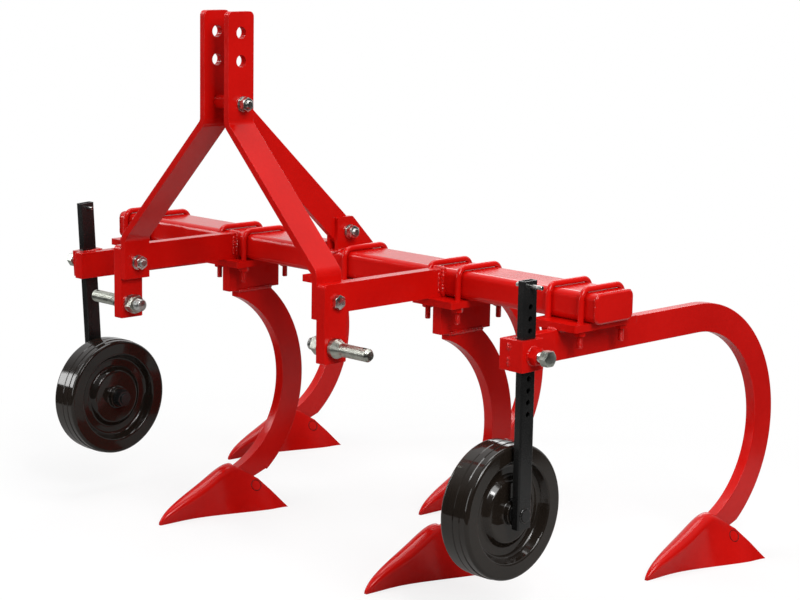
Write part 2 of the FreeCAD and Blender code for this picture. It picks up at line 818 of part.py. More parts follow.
bar = make_mast_bar()
save("mast_bar_right", bar)
save("mast_bar_left", mirrored(bar))
save("mast_bolt", make_bolt(-mast_outer_x, mast_outer_x, mast_bolt_y, mast_bolt_z, True))
save("mast_spacers", make_spacer())
save("mast_brace", make_brace())
ear = make_ear()
save("brace_ears", ear, mirrored(ear))
save("brace_bolt", make_bolt(-ear_outer_x, ear_outer_x, ear_bolt_y, ear_bolt_z, True))
arm_bolt = make_bolt(-arm_outer_x, -foot_inner_x, mast_hole_y, arm_bolt_z, False)
save("arm_bolts", arm_bolt, mirrored(arm_bolt))

plates = []
ubolts = []
nuts = []
for x in rear_stations + front_stations:
    plates.append(make_clamp_plate(x))
    ubolts.append(make_ubolt(x - ubolt_half_pitch))
    ubolts.append(make_ubolt(x + ubolt_half_pitch))
    nuts.extend(make_ubolt_nuts(x))
save("clamp_plates", *plates)
save("u_bolts", *ubolts)
save("clamp_nuts", *nuts)

tines = []
rear_fronts = (outer_bar_front_y, centre_bar_front_y, outer_bar_front_y)
for name, x, front_y in zip(("left", "centre", "right"), rear_stations, rear_fronts):
    tines.append(("rear_" + name, x, rear_point_y, make_rear_shank(x, front_y)))
for name, x in zip(("left", "right"), front_stations):
    save("tine_holder_front_" + name, make_holder(x))
    tines.append(("front_" + name, x, front_point_y, make_front_shank(x)))
share_blank = make_share_blank()
for name, x, point_y, shank in tines:
    share = share_blank.copy()
    share.translate(V(x, point_y, ground_z))
    save("tine_shank_" + name, shank)
    save("share_" + name, share.cut(shank))

gauge_set = {
    "strut_sleeve_": make_sleeve(),
    "set_bolt_": make_set_bolt(),
    "wheel_strut_": make_strut(),
    "strut_pin_": make_strut_pin(),
    "wheel_axle_": make_axle(),
    "gauge_wheel_": make_wheel(),
}
for name, shape in gauge_set.items():
    save(name + "right", shape)
    save(name + "left", set_back(mirrored(shape)))
sleeve_nut = make_sleeve_nut()
save("sleeve_nuts", sleeve_nut, set_back(mirrored(sleeve_nut)))
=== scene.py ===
import json
import math
import random

import bmesh
import bpy
from mathutils import Euler, Matrix, Vector
from mathutils.bvhtree import BVHTree


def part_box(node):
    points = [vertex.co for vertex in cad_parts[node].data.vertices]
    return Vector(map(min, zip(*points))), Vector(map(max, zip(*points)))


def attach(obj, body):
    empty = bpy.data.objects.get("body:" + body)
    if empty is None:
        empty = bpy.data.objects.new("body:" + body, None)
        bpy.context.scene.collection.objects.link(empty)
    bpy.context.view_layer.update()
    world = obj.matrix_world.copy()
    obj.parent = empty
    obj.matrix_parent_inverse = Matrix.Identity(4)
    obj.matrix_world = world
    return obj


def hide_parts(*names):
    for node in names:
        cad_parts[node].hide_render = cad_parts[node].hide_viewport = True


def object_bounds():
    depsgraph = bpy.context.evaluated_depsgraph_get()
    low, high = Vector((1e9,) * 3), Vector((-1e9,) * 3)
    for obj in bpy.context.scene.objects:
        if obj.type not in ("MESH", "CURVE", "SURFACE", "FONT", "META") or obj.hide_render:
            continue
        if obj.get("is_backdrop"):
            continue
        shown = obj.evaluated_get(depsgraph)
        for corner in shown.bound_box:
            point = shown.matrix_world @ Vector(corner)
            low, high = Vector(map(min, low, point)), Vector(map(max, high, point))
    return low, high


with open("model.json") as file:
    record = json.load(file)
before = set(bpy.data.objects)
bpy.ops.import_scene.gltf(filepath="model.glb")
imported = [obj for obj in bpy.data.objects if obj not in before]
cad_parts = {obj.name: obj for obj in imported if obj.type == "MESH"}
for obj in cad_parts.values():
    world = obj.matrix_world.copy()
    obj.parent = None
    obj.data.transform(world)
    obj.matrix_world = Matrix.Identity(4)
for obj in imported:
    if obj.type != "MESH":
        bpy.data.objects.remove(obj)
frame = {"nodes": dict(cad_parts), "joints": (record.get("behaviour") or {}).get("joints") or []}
cad_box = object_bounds()

MM = 0.001
SEED = 11


# Node trees


class Socket:
    """One output of a tree; arithmetic on it adds Math nodes."""

    def __init__(self, tree, link):
        self.tree = tree
        self.link = link

    def __add__(self, other):
        return self.tree.maths("ADD", self, other)

    __radd__ = __add__

    def __sub__(self, other):
        return self.tree.maths("SUBTRACT", self, other)

    def __rsub__(self, other):
        return self.tree.maths("SUBTRACT", other, self)

    def __mul__(self, other):
        return self.tree.maths("MULTIPLY", self, other)

    __rmul__ = __mul__

    def __truediv__(self, other):
        return self.tree.maths("DIVIDE", self, other)

    def __rtruediv__(self, other):
        return self.tree.maths("DIVIDE", other, self)

    def __gt__(self, other):
        return self.tree.maths("GREATER_THAN", self, other)

    def __lt__(self, other):
        return self.tree.maths("LESS_THAN", self, other)

    def __abs__(self):
        return self.tree.maths("ABSOLUTE", self)

    def maths(self, operation, *others):
        return self.tree.maths(operation, self, *others)

    def clipped(self):
        return self.tree.node("ShaderNodeClamp", None, {0: self})

    def within(self, low, high):
        """0 at low, 1 at high, smooth between."""
        settings = {"interpolation_type": "SMOOTHSTEP"}
        inputs = {"Value": self, "From Min": low, "From Max": high}
        return self.tree.node("ShaderNodeMapRange", settings, inputs)


class Tree:
    """A material's or a Geometry Nodes tree being put together."""

    def __init__(self, tree):
        self.tree = tree

    def node(self, kind, settings=None, inputs=None, output=0):
        """Adds a node: settings first, then values or links into its sockets."""
        made = self.tree.nodes.new(kind)
        for name, value in (settings or {}).items():
            setattr(made, name, value)
        for key, value in (inputs or {}).items():
            if isinstance(value, Socket):
                self.tree.links.new(value.link, made.inputs[key])
            else:
                made.inputs[key].default_value = value
        return Socket(self, made.outputs[output])

    def maths(self, operation, *values):
        return self.node("ShaderNodeMath", {"operation": operation}, dict(enumerate(values)))

    def second(self, value, output):
        """Another output of the node behind a socket."""
        return Socket(self, value.link.node.outputs[output])


# Materials

# Places of a Mix node's colour sockets among its sockets
MIX_FACTOR = 0
MIX_A = 6
MIX_B = 7
MIX_RESULT = 2

# Noise scales: how many times a metre a pattern repeats
SLOW_TONE = 7.0
FINE_TONE = 140.0
WAVES = 17.0
ORANGE_PEEL = 380.0
WELD_LUMPS = 330.0
SATIN_TONE = 14.0
SATIN_DUST = 900.0
ZINC_CLOUDS = 70.0
ZINC_GRAIN = 620.0

# The turning lines of a pin, in radians a metre
TURNING = 9000.0

# Bump heights in metres
WAVE_HEIGHT = 0.0006
PEEL_HEIGHT = 0.00004
LUMP_HEIGHT = 0.0004
DUST_HEIGHT = 0.00006
GRAIN_HEIGHT = 0.00006


class Finish(Tree):
    """A surface finish on one principled shader."""

    def __init__(self, name, **plain):
        self.material = bpy.data.materials.new(name)
        self.material.use_nodes = True
        super().__init__(self.material.node_tree)
        self.shader = self.tree.nodes["Principled BSDF"]
        self.place = self.node("ShaderNodeTexCoord", output="Object")
        for key, value in plain.items():
            socket = key.replace("_", " ").title().replace("Ior", "IOR")
            self.shader.inputs[socket].default_value = value

    def feed(self, key, value):
        self.tree.links.new(value.link, self.shader.inputs[key])

    def noise(self, scale, detail=2.0, rough=0.5):
        inputs = {"Vector": self.place, "Scale": scale, "Detail": detail, "Roughness": rough}
        return self.node("ShaderNodeTexNoise", None, inputs)

    def mix(self, factor, a, b):
        """Colour a where the factor is 0, colour b where it is 1."""
        inputs = {MIX_FACTOR: factor, MIX_A: a, MIX_B: b}
        return self.node("ShaderNodeMix", {"data_type": "RGBA"}, inputs, MIX_RESULT)

    def bump(self, height, distance, strength=1.0, under=None):
        inputs = {"Height": height, "Distance": distance, "Strength": strength}
        if under:
            inputs["Normal"] = under
        return self.node("ShaderNodeBump", None, inputs)

    def axis(self, index):
        return self.node("ShaderNodeSeparateXYZ", None, {0: self.place}, output=index)


def gloss_paint(name, colour, deep, rough, shine, peel=0.4):
    """Thick sprayed enamel: slow changes of tone, slight waves, and an orange peel of this strength."""
    finish = Finish(name, specular_ior_level=shine)
    tone = finish.noise(SLOW_TONE, 3.0).within(0.3, 0.72)
    fine = finish.noise(FINE_TONE, 2.0).within(0.35, 0.7)
    blend = (tone * 0.8 + fine * 0.2).clipped()
    finish.feed("Base Color", finish.mix(blend, (*deep, 1), (*colour, 1)))
    finish.feed("Roughness", tone * 0.06 + fine * 0.03 + rough)
    waves = finish.bump(finish.noise(WAVES, 1.0), WAVE_HEIGHT, 0.25)
    skin = finish.noise(ORANGE_PEEL, 2.0)
    finish.feed("Normal", finish.bump(skin, PEEL_HEIGHT, peel, waves))
    return finish.material


def weld_paint(name, colour, deep, shine):
    """The same enamel over a rough weld: the deep colour in the hollows of its lumps is painted shade, and
    the shine is broken.
    """
    finish = Finish(name, specular_ior_level=shine)
    lumps = finish.noise(WELD_LUMPS, 4.0, 0.6)
    # Painted shade: where the lumps' bump is low, the colour goes to the deep one
    shade = lumps.within(0.25, 0.65)
    finish.feed("Base Color", finish.mix(shade, (*deep, 1), (*colour, 1)))
    finish.feed("Roughness", 0.24 - shade * 0.12)
    finish.feed("Normal", finish.bump(lumps, LUMP_HEIGHT, 0.6))
    return finish.material


def satin_black(name, low, high, rough):
    """Black satin enamel with fine dust in it."""
    finish = Finish(name, specular_ior_level=0.4)
    tone = finish.noise(SATIN_TONE, 3.0).within(0.3, 0.7)
    dust = finish.noise(SATIN_DUST, 2.0).within(0.55, 0.8)
    finish.feed("Base Color", finish.mix(tone, (low, low, low, 1), (high, high, high, 1)))
    finish.feed("Roughness", tone * 0.08 + dust * 0.06 + rough)
    finish.feed("Normal", finish.bump(dust, DUST_HEIGHT, 0.4))
    return finish.material


def zinc(name, light, dark, rough, turned=False):
    """Zinc plate: cloudy from dark to light, with turning lines on a pin."""
    finish = Finish(name, metallic=1.0)
    cloud = finish.noise(ZINC_CLOUDS, 4.0, 0.6).within(0.3, 0.7)
    grain = finish.noise(ZINC_GRAIN, 3.0, 0.6)
    finish.feed("Base Color", finish.mix(cloud, (*dark, 1), (*light, 1)))
    height = grain * 0.4
    if turned:
        lines = finish.axis(0) * TURNING
        height = height + lines.maths("SINE") * 0.5
    finish.feed("Roughness", cloud * 0.12 + grain * 0.1 + rough)
    finish.feed("Normal", finish.bump(height, GRAIN_HEIGHT, 0.6))
    return finish.material


RED = (0.60, 0.0050, 0.0030)
RED_DEEP = (0.50, 0.0040, 0.0025)
BLACK = (0.0165, 0.0120, 0.0090)
BLACK_DEEP = (0.0115, 0.0085, 0.0065)
red_paint = gloss_paint("frame_red_enamel", RED, RED_DEEP, 0.13, 0.28)
# Weld finishes: their second colour is painted shade in the hollows of the lumps
red_weld = weld_paint("weld_red_enamel", (0.58, 0.005, 0.003), (0.36, 0.003, 0.002), 0.4)
# Dark red for the ring round each plow bolt head: painted shade of the groove there
groove_shade_red = gloss_paint("recess_red_enamel", (0.17, 0.002, 0.001), (0.10, 0.001, 0.001), 0.3, 0.15)
wheel_black = gloss_paint("wheel_black_enamel", BLACK, BLACK_DEEP, 0.05, 0.4, 0.12)
strut_black = satin_black("strut_satin_black", 0.007, 0.012, 0.22)
axle_black = satin_black("axle_black", 0.006, 0.010, 0.16)
strut_weld = weld_paint("strut_weld_black", (0.014, 0.013, 0.012), (0.006, 0.006, 0.006), 0.5)
zinc_bright = zinc("zinc_bright", (0.76, 0.77, 0.74), (0.44, 0.45, 0.43), 0.15)
zinc_turned = zinc("zinc_turned", (0.46, 0.47, 0.42), (0.30, 0.31, 0.27), 0.2, True)
zinc_dull = zinc("zinc_dull", (0.55, 0.58, 0.53), (0.34, 0.37, 0.33), 0.2)
zinc_dark = zinc("zinc_thread", (0.62, 0.63, 0.61), (0.34, 0.34, 0.33), 0.22)


# Shapes grown by Geometry Nodes

# Lengths in metres under which points are one point, and an edge has no length
MERGE = 1e-6
DEGENERATE = 1e-7

COLLAR_ROWS = 7
COLLAR_COLUMNS = 49
THREAD_COLUMNS = 25
ROWS_PER_TURN = 6.0
BEAD_STEP = 0.0007
BEAD_SIDES = 10
BEAD_DRIFT = 90.0
BEAD_LUMPS = 260.0
SMALLEST_SPECK = 0.35


class Grower(Tree):
    """A Geometry Nodes tree with named inputs, run on a base mesh."""

    KINDS = {float: "NodeSocketFloat", int: "NodeSocketInt", bool: "NodeSocketBool"}

    def __init__(self, name, **inputs):
        group = bpy.data.node_groups.new(name, "GeometryNodeTree")
        group.interface.new_socket("Geometry", in_out="INPUT", socket_type="NodeSocketGeometry")
        group.interface.new_socket("Geometry", in_out="OUTPUT", socket_type="NodeSocketGeometry")
        for key, value in inputs.items():
            made = group.interface.new_socket(key, in_out="INPUT", socket_type=self.KINDS[type(value)])
            made.default_value = value
        group.interface.new_socket("Material", in_out="INPUT", socket_type="NodeSocketMaterial")
        super().__init__(group)
        self.base = self.node("NodeGroupInput")
        self.given = {key: self.second(self.base, key) for key in inputs}

    def close(self, geometry):
        """Ends the tree: instances made real, then the material."""
        real = self.node("GeometryNodeRealizeInstances", None, {0: geometry})
        material = self.second(self.base, "Material")
        done = self.node("GeometryNodeSetMaterial", None, {"Geometry": real, "Material": material})
        out = self.tree.nodes.new("NodeGroupOutput")
        self.tree.links.new(done.link, out.inputs[0])

    def pick(self, index, *values):
        """The value that stands at this index."""
        made = self.tree.nodes.new("GeometryNodeIndexSwitch")
        made.data_type = "FLOAT"
        while len(made.index_switch_items) < len(values):
            made.index_switch_items.new()
        self.tree.links.new(index.link, made.inputs[0])
        for i, value in enumerate(values):
            if isinstance(value, Socket):
                self.tree.links.new(value.link, made.inputs[i + 1])
            else:
                made.inputs[i + 1].default_value = value
        return Socket(self, made.outputs[0])

    def wound_grid(self, rows, columns):
        """Grid with its row number and its angle round the axis."""
        inputs = {"Size X": 1.0, "Size Y": 1.0, "Vertices X": rows, "Vertices Y": columns}
        grid = self.node("GeometryNodeMeshGrid", None, inputs)
        place = self.node("GeometryNodeInputPosition")
        along = self.node("ShaderNodeSeparateXYZ", None, {0: place}, output=0)
        across = self.second(along, 1)
        row = ((along + 0.5) * (rows - 1)).maths("ROUND")
        return grid, row, (across + 0.5) * math.tau

    def shape_round(self, grid, radius, angle, height):
        """Wraps the grid round the axis and closes its seam."""
        x = radius * angle.maths("COSINE")
        y = radius * angle.maths("SINE")
        place = self.node("ShaderNodeCombineXYZ", None, {0: x, 1: y, 2: height})
        moved = self.node("GeometryNodeSetPosition", None, {"Geometry": grid, "Position": place})
        merge_inputs = {"Geometry": moved, "Distance": MERGE}
        merged = self.node("GeometryNodeMergeByDistance", None, merge_inputs)
        return self.node("GeometryNodeFlipFaces", None, {0: merged})

    def on_points(self, shape):
        """Puts the shape on every point, turned as the point says."""
        settings = {"data_type": "FLOAT_VECTOR"}
        turn = self.node("GeometryNodeInputNamedAttribute", settings, {"Name": "turn"})
        inputs = {"Points": self.base, "Instance": shape, "Rotation": turn}
        return self.node("GeometryNodeInstanceOnPoints", None, inputs)

    def run(self, base, material, **inputs):
        """Grows the tree on a base mesh and gives the plain result."""
        carrier = bpy.data.objects.new("carrier", base)
        bpy.context.scene.collection.objects.link(carrier)
        modifier = carrier.modifiers.new("grow", "NODES")
        modifier.node_group = self.tree
        inputs["Material"] = material
        for item in self.tree.interface.items_tree:
            if item.in_out == "INPUT" and item.name in inputs:
                modifier[item.identifier] = inputs[item.name]
        graph = bpy.context.evaluated_depsgraph_get()
        mesh = bpy.data.meshes.new_from_object(carrier.evaluated_get(graph), depsgraph=graph)
        bpy.data.objects.remove(carrier)
        mesh.materials.clear()
        mesh.materials.append(material)
        work = bmesh.new()
        work.from_mesh(mesh)
        bmesh.ops.dissolve_degenerate(work, dist=DEGENERATE, edges=work.edges)
        loose = [edge for edge in work.edges if not edge.link_faces]
        bmesh.ops.delete(work, geom=loose, context="EDGES")
        for face in work.faces:
            face.material_index = 0
        work.to_mesh(mesh)
        work.free()
        return mesh


def make_collar_tree():
    """Nut, bolt head or washer: six flats or round, its corners cut by a cone."""
    tree = Grower("collar", Flats=20.0, Height=10.0, Bore=5.0, Crown=0.5, Face=0.94, Round=False)
    flats, height, bore = [tree.given[key] for key in ("Flats", "Height", "Bore")]
    grid, row, angle = tree.wound_grid(COLLAR_ROWS, COLLAR_COLUMNS)
    half = flats * 0.5
    sixth = math.pi / 3
    folded = (angle + sixth / 2).maths("WRAP", sixth / 2, -sixth / 2)
    hexed = half / folded.maths("COSINE")
    settings = {"input_type": "FLOAT"}
    inputs = {"Switch": tree.given["Round"], "False": hexed, "True": half}
    edge = tree.node("GeometryNodeSwitch", settings, inputs)
    face = half * tree.given["Face"]
    cut = (edge - face) * tree.given["Crown"]
    radius = tree.pick(row, bore, face, edge, edge, face, bore, bore)
    level = tree.pick(row, 0.0, 0.0, cut, height - cut, height, height, 0.0)
    shape = tree.shape_round(grid, radius * MM, angle, level * MM)
    tree.close(tree.on_points(shape))
    return tree


def make_thread_tree():
    """Threaded end: a helical ridge on a rod with a chamfered, closed end."""
    tree = Grower("thread", Radius=5.0, Length=20.0, Pitch=1.5, Depth=0.8, Chamfer=1.0)
    radius, length, pitch, depth = [tree.given[key] for key in ("Radius", "Length", "Pitch", "Depth")]
    rows = (length / pitch * ROWS_PER_TURN + 4.0).maths("CEIL")
    grid, row, angle = tree.wound_grid(rows, THREAD_COLUMNS)
    last = rows - 1.0
    share = ((row - 1.0) / (rows - 3.0)).clipped()
    level = share * length
    wave = level / pitch - angle / math.tau
    ridge = abs(wave.maths("FRACT") * 2.0 - 1.0)
    end = radius - tree.given["Chamfer"] + (length - level)
    body = (radius - depth * ridge).maths("MINIMUM", end)
    inside = (row > 0.5) * (row < last - 0.5)
    shape = tree.shape_round(grid, body * inside * MM, angle, level * MM)
    tree.close(tree.on_points(shape))
    return tree


def make_bead_tree():
    """Weld bead along the base's edges: a rippled, lumpy roll, its open ends rounded."""
    tree = Grower("weld_bead", Radius=3.0, Ripple=2.4, Seed=1, Open=1.0)
    curve = tree.node("GeometryNodeMeshToCurve", None, {"Mesh": tree.base})
    settings = {"mode": "LENGTH"}
    curve = tree.node("GeometryNodeResampleCurve", settings, {"Curve": curve, "Length": BEAD_STEP})
    travelled = tree.node("GeometryNodeSplineParameter", output="Length")
    place = tree.node("GeometryNodeInputPosition")
    inputs = {"Vector": place, "W": tree.given["Seed"], "Scale": BEAD_DRIFT, "Detail": 1.0}
    drift = tree.node("ShaderNodeTexNoise", {"noise_dimensions": "4D"}, inputs)
    inputs = {"Vector": place, "W": tree.given["Seed"] + 7.0, "Scale": BEAD_LUMPS, "Detail": 2.0}
    lumps = tree.node("ShaderNodeTexNoise", {"noise_dimensions": "4D"}, inputs)
    step = travelled * (math.pi / MM) / tree.given["Ripple"] + drift * 5.0
    ripple = abs(step.maths("SINE"))
    largest = tree.given["Radius"] * MM
    whole = tree.node("GeometryNodeSplineLength")
    to_end = travelled.maths("MINIMUM", whole - travelled)
    share = (to_end / largest).clipped()
    rounding = (share * (2.0 - share)).maths("SQRT")
    tapered = 1.0 - tree.given["Open"] * (0.9 - rounding * 0.9)
    radius = largest * tapered * (0.34 + ripple * 0.16 + drift * 0.5 + lumps * 0.42)
    curve = tree.node("GeometryNodeSetCurveRadius", None, {"Curve": curve, "Radius": radius})
    ring_inputs = {"Resolution": BEAD_SIDES, "Radius": 1.0}
    ring = tree.node("GeometryNodeCurvePrimitiveCircle", None, ring_inputs)
    scale = tree.node("GeometryNodeInputRadius")
    inputs = {"Curve": curve, "Profile Curve": ring, "Scale": scale, "Fill Caps": True}
    tree.close(tree.node("GeometryNodeCurveToMesh", None, inputs))
    return tree


def make_speck_tree():
    """Spatter: small balls of metal on the base's points."""
    tree = Grower("spatter", Largest=0.8, Seed=1)
    ball = tree.node("GeometryNodeMeshIcoSphere", None, {"Radius": 1.0, "Subdivisions": 2})
    inputs = {2: SMALLEST_SPECK, 3: 1.0, "Seed": tree.given["Seed"]}
    size = tree.node("FunctionNodeRandomValue", {"data_type": "FLOAT"}, inputs, output=1)
    scale = size * tree.given["Largest"] * MM
    inputs = {"Points": tree.base, "Instance": ball, "Scale": scale}
    tree.close(tree.node("GeometryNodeInstanceOnPoints", None, inputs))
    return tree


collar = make_collar_tree()
thread = make_thread_tree()
bead = make_bead_tree()
spatter = make_speck_tree()


# Meshes and pieces

# Angles in degrees: faces this flat are joined, edges over these are rounded, or shaded sharp
FLAT = 0.4
SHARP_EDGE = 32.0
SHARP_SHADE = 36.0
SHARP_WELD = 80.0

ROD_SIDES = 32


def points(places):
    """Base mesh of (place, turn) points for the trees that copy a shape."""
    mesh = bpy.data.meshes.new("points")
    mesh.from_pydata([place for place, turn in places], [], [])
    turns = mesh.attributes.new("turn", "FLOAT_VECTOR", "POINT")
    for i, (place, turn) in enumerate(places):
        turns.data[i].vector = turn
    return mesh


def path(run, closed):
    """Base mesh of the line that a weld bead follows."""
    edges = [(i, i + 1) for i in range(len(run) - 1)]
    if closed:
        edges.append((len(run) - 1, 0))
    mesh = bpy.data.meshes.new("path")
    mesh.from_pydata(run, edges, [])
    return mesh


def facing(axis, corner=0.0):
    """Turn that points a shape along an axis, one hexagon corner at this angle in degrees."""
    spin = math.radians(corner)
    quarter = math.pi / 2
    tilt, about = {
        "-z": ((math.pi, 0, 0), spin),
        "+x": ((0, quarter, 0), quarter + spin),
        "-x": ((0, -quarter, 0), quarter - spin),
    }[axis]
    return (Euler(tilt).to_matrix() @ Matrix.Rotation(about, 3, "Z")).to_euler()


def clean_copy(node):
    """Copy of a CAD node's mesh, its doubles merged and its flat faces whole."""
    mesh = bpy.data.meshes.new(node + "_copy")
    work = bmesh.new()
    work.from_mesh(frame["nodes"][node].data)
    bmesh.ops.remove_doubles(work, verts=work.verts, dist=MERGE)
    flat = math.radians(FLAT)
    bmesh.ops.dissolve_limit(work, angle_limit=flat, verts=work.verts, edges=work.edges)
    work.to_mesh(mesh)
    work.free()
    return mesh


def trimmed(mesh, place, normal):
    """Cuts away what lies beyond a plane and closes the cut."""
    work = bmesh.new()
    work.from_mesh(mesh)
    geometry = work.verts[:] + work.edges[:] + work.faces[:]
    made = bmesh.ops.bisect_plane(
        work, geom=geometry, plane_co=place, plane_no=normal, clear_outer=True
    )
    rim = [item for item in made["geom_cut"] if isinstance(item, bmesh.types.BMEdge)]
    bmesh.ops.holes_fill(work, edges=rim, sides=0)
    work.to_mesh(mesh)
    work.free()
    return mesh


def dressed_edges(mesh, width):
    """Rounds a mesh's sharp edges by a width in mm and weights its normals to the flat faces."""
    carrier = bpy.data.objects.new("carrier", mesh)
    bpy.context.scene.collection.objects.link(carrier)
    if "custom_normal" in mesh.attributes:
        mesh.attributes.remove(mesh.attributes["custom_normal"])
    mesh.polygons.foreach_set("use_smooth", [True] * len(mesh.polygons))
    for edge in mesh.edges:
        edge.use_edge_sharp = False
    bevel = carrier.modifiers.new("edges", "BEVEL")
    bevel.width = width * MM
    bevel.segments = 2
    bevel.limit_method = "ANGLE"
    bevel.angle_limit = math.radians(SHARP_EDGE)
    bevel.miter_outer = "MITER_ARC"
    bevel.use_clamp_overlap = True
    weights = carrier.modifiers.new("normals", "WEIGHTED_NORMAL")
    weights.keep_sharp = True
    graph = bpy.context.evaluated_depsgraph_get()
    finished = bpy.data.meshes.new_from_object(carrier.evaluated_get(graph), depsgraph=graph)
    bpy.data.objects.remove(carrier)
    return finished


def joined(meshes, sharp=SHARP_SHADE):
    """Several meshes as one, with their materials, shaded smooth up to an angle in degrees."""
    whole = bmesh.new()
    materials = []
    for mesh in meshes:
        first = len(whole.faces)
        whole.from_mesh(mesh)
        whole.faces.ensure_lookup_table()
        for face in whole.faces[first:]:
            material = mesh.materials[face.material_index]
            if material not in materials:
                materials.append(material)
            face.material_index = materials.index(material)
    mesh = bpy.data.meshes.new("joined")
    whole.to_mesh(mesh)
    whole.free()
    for material in materials:
        mesh.materials.append(material)
    mesh.polygons.foreach_set("use_smooth", [True] * len(mesh.polygons))
    mesh.set_sharp_from_angle(angle=math.radians(sharp))
    return mesh


def piece(name, mesh, body, slot, *nodes):
    """A finished object on a body, standing for these CAD nodes."""
    mesh.name = name
    made = bpy.data.objects.new(name, mesh)
    bpy.context.scene.collection.objects.link(made)
    if nodes:
        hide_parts(*nodes)
    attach(made, body)


def painted(mesh, material):
    mesh.materials.clear()
    mesh.materials.append(material)
    mesh.polygons.foreach_set("material_index", [0] * len(mesh.polygons))
    return mesh


def middle(node):
    low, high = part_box(node)
    return (low + high) / 2


def rod_mesh(a, b, radius, material):
    """Plain closed rod between two points, its radius in mm."""
    work = bmesh.new()
    run = b - a
    turn = run.to_track_quat("Z", "Y").to_matrix().to_4x4()
    place = Matrix.Translation((a + b) / 2) @ turn
    wide = radius * MM
    bmesh.ops.create_cone(
        work, cap_ends=True, segments=ROD_SIDES, radius1=wide, radius2=wide, depth=run.length, matrix=place
    )
    mesh = bpy.data.meshes.new("rod")
    work.to_mesh(mesh)
    work.free()
    return painted(mesh, material)


SIDES = (("left", -1), ("right", 1))
PLACES = ("rear_left", "rear_centre", "rear_right", "front_left", "front_right")

# CAD parts that keep their shape and get their finish

for node in ("main_beam", "beam_end_caps", "mast_spacers"):
    painted(frame["nodes"][node].data, red_paint)
for side, _ in SIDES:
    painted(frame["nodes"]["gauge_wheel_" + side].data, wheel_black)

# Flat and bent steel with its edges rounded by rolling, cutting and paint, widths in mm

EDGES = {"mast_brace": 0.8, "brace_ears": 0.8, "clamp_plates": 0.9}
for side, _ in SIDES:
    EDGES["hitch_arm_" + side] = 1.0
    EDGES["mast_bar_" + side] = 1.0
    EDGES["tine_holder_front_" + side] = 1.0
    EDGES["strut_sleeve_" + side] = 0.9
for place in PLACES:
    EDGES["tine_shank_" + place] = 1.2
    EDGES["share_" + place] = 0.7
for node, width in EDGES.items():
    mesh = painted(dressed_edges(clean_copy(node), width), red_paint)
    piece(node + "_edged", mesh, "frame", "frame_paint", node)
for side, _ in SIDES:
    body = side + "_strut"
    strut = painted(dressed_edges(clean_copy("wheel_strut_" + side), 0.6), strut_black)
    piece("wheel_strut_" + side + "_edged", strut, body, "strut_paint", "wheel_strut_" + side)
    axle = painted(dressed_edges(clean_copy("wheel_axle_" + side), 0.5), axle_black)
    piece("wheel_axle_" + side + "_edged", axle, body, "strut_paint", "wheel_axle_" + side)

# The line along X through a place, and the sides of a node that face out and in

AXIS = {1: "+x", -1: "-x"}


def on_line(x, centre):
    """The point at x on the line along X through a centre."""
    return Vector((x, centre.y, centre.z))


def outer_x(node, s):
    """The x of a node's side away from the middle of the object, s being its side."""
    low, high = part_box(node)
    return high.x if s > 0 else low.x


def inner_x(node, s):
    return outer_x(node, -s)


# Bolts with chamfered heads and nuts, washers and threaded ends, sizes in mm

BOLT = 14.0
BOLT_FLATS = 21.5
BOLT_HEAD = 8.0
BOLT_NUT = 12.0
BOLT_END = 4.0
WASHER = 26.0
WASHER_THICK = 3.0
MAST_BAR = 12.0
THREAD_SUNK = 1.0
NUT_OVERLAP = 0.3
CORE_INSET = 0.35


def bolt_parts(left, right, centre, head_washer, way=1):
    """Bolt along X, its head before left and its nut past right, way -1 the other way round."""
    ahead, behind = AXIS[way], AXIS[-way]
    washer = WASHER_THICK * MM * way
    head_at = on_line(left - (washer if head_washer else 0), centre)
    nut_at = on_line(right + washer, centre)
    nut_end = nut_at + Vector((BOLT_NUT * MM * way, 0, 0))
    washers = [(on_line(right, centre), facing(ahead))]
    if head_washer:
        washers.append((on_line(left, centre), facing(behind)))
    head_places = points([(head_at, facing(behind, 30))])
    nut_places = points([(nut_at, facing(ahead, 30))])
    end_places = points([(nut_end - Vector((THREAD_SUNK * MM * way, 0, 0)), facing(ahead))])
    hexagon = {"Flats": BOLT_FLATS, "Crown": 0.55, "Face": 0.92}
    disc = {"Flats": WASHER, "Height": WASHER_THICK, "Bore": BOLT / 2, "Crown": 0.5, "Face": 0.97}
    turns = {"Radius": BOLT / 2, "Length": BOLT_END + THREAD_SUNK, "Pitch": 2.0, "Depth": 0.9, "Chamfer": 1.6}
    return [
        collar.run(head_places, zinc_bright, Height=BOLT_HEAD, Bore=0.0, **hexagon),
        collar.run(nut_places, zinc_bright, Height=BOLT_NUT, Bore=BOLT / 2 - NUT_OVERLAP, **hexagon),
        collar.run(points(washers), zinc_bright, Round=True, **disc),
        thread.run(end_places, zinc_dark, **turns),
        rod_mesh(head_at, nut_end, BOLT / 2 - CORE_INSET, zinc_dark),
    ]


head_stack = (WASHER_THICK + BOLT_HEAD) * MM
nut_stack = (WASHER_THICK + BOLT_NUT + BOLT_END) * MM
for node in ("mast_bolt", "brace_bolt"):
    low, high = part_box(node)
    parts = bolt_parts(low.x + head_stack, high.x - nut_stack, middle(node), True)
    piece(node + "_set", joined(parts), "frame", "zinc_plate", node)
low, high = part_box("arm_bolts")
foot_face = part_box("hitch_arm_right")[0].x - MAST_BAR * MM
parts = []
for _, s in SIDES:
    head_face = s * (high.x - BOLT_HEAD * MM)
    parts += bolt_parts(head_face, s * foot_face, middle("arm_bolts"), False, -s)
piece("arm_bolt_sets", joined(parts), "frame", "zinc_plate", "arm_bolts")

# Nuts under the clamp plates and the threaded legs of the U-bolts, sizes in mm but for
# the three in metres that find and cut the legs

LEG = 5.0
CLAMP_FLATS = 17.0
CLAMP_SPIN = 9.0
LEG_REACH = 0.012
LEG_SUNK = 0.004
NEAR = 1e-5
nut_low, nut_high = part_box("clamp_nuts")
leg_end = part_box("u_bolts")[0].z


